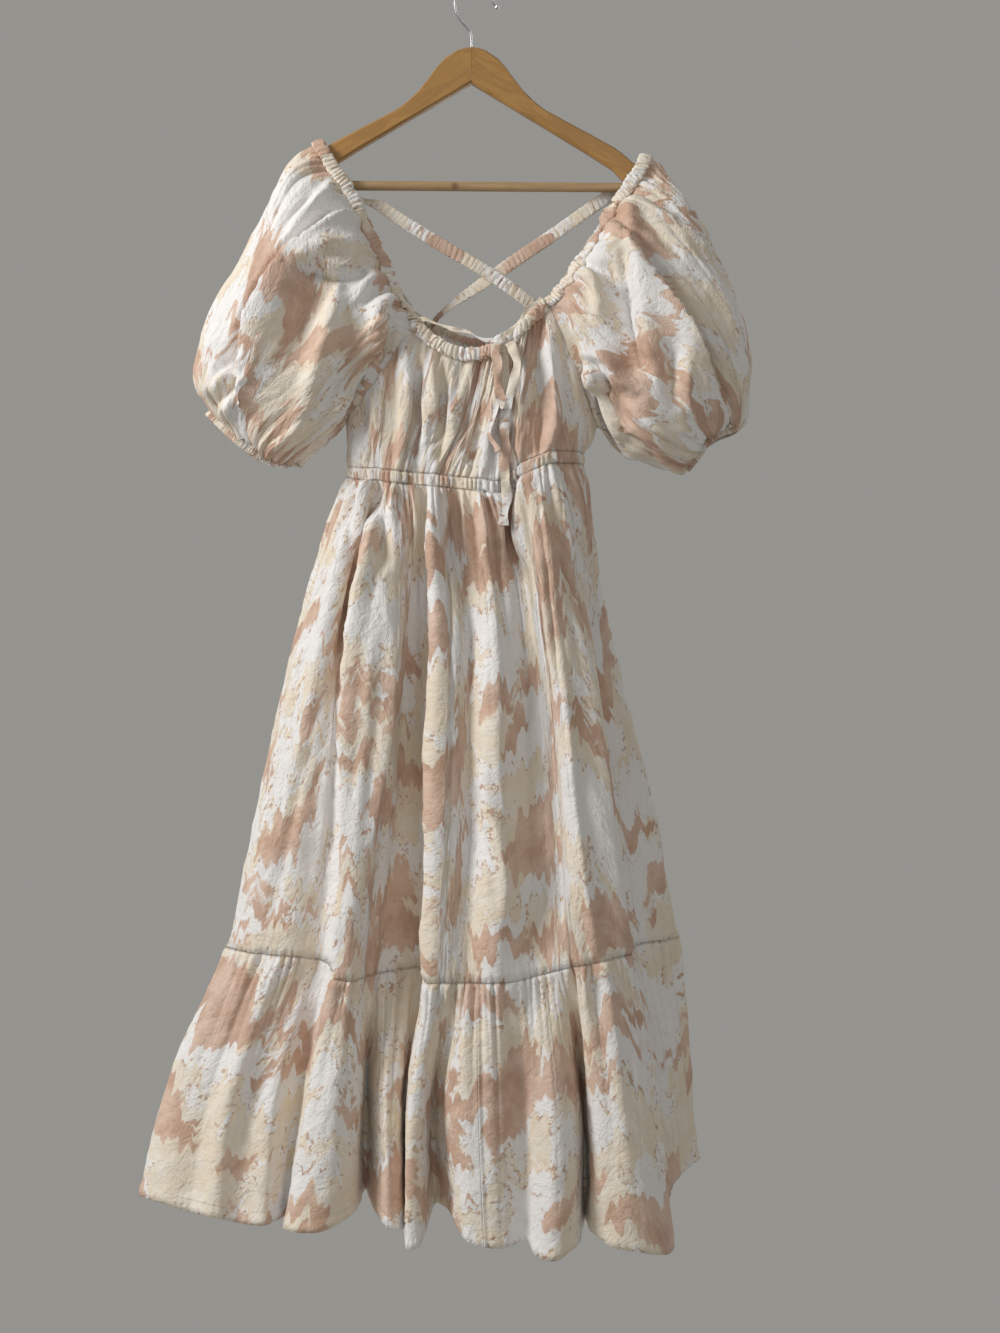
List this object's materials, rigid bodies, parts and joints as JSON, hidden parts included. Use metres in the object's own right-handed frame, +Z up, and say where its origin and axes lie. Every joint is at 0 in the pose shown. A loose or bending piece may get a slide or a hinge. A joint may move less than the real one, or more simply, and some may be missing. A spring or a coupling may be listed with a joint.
{
  "type": "puff sleeve midi dress on a wooden hanger",
  "caption": "Cotton midi dress with puff sleeves, ruched neckline, gathered waist and hem flounce, hanging on its wooden hanger.",
  "frame": {"origin": "inner top of the hanger's hook, where a rail touches it", "axes": "+X to the right seen from the front, +Y from front to back, +Z up"},
  "size_m": [0.6663, 0.246, 1.3779],
  "materials": {
    "cotton": "matt",
    "wood": "satin",
    "bar_wood": "satin",
    "chrome": "polished"
  },
  "bodies": {
    "root": {"bodice_front": "cotton", "bodice_back": "cotton", "sleeve_left": "cotton", "sleeve_right": "cotton", "neck_casing_front": "cotton", "neck_casing_back": "cotton", "neck_casing_left": "cotton", "neck_casing_right": "cotton", "cuff_left": "cotton", "cuff_right": "cotton", "waist_casing_front": "cotton", "waist_casing_back": "cotton", "skirt_front": "cotton", "skirt_back": "cotton", "flounce_front_left": "cotton", "flounce_front_right": "cotton", "flounce_back": "cotton", "back_strap_left": "cotton", "back_strap_right": "cotton", "neck_drawstring_left": "cotton", "neck_drawstring_right": "cotton", "tie_knot": "cotton", "tie_loop": "cotton", "tie_end_short": "cotton", "tie_end_long": "cotton", "hanger_arm_left": "wood", "hanger_arm_right": "wood", "hanger_bar": "bar_wood", "hanger_hook": "chrome"}
  },
  "joints": []
}
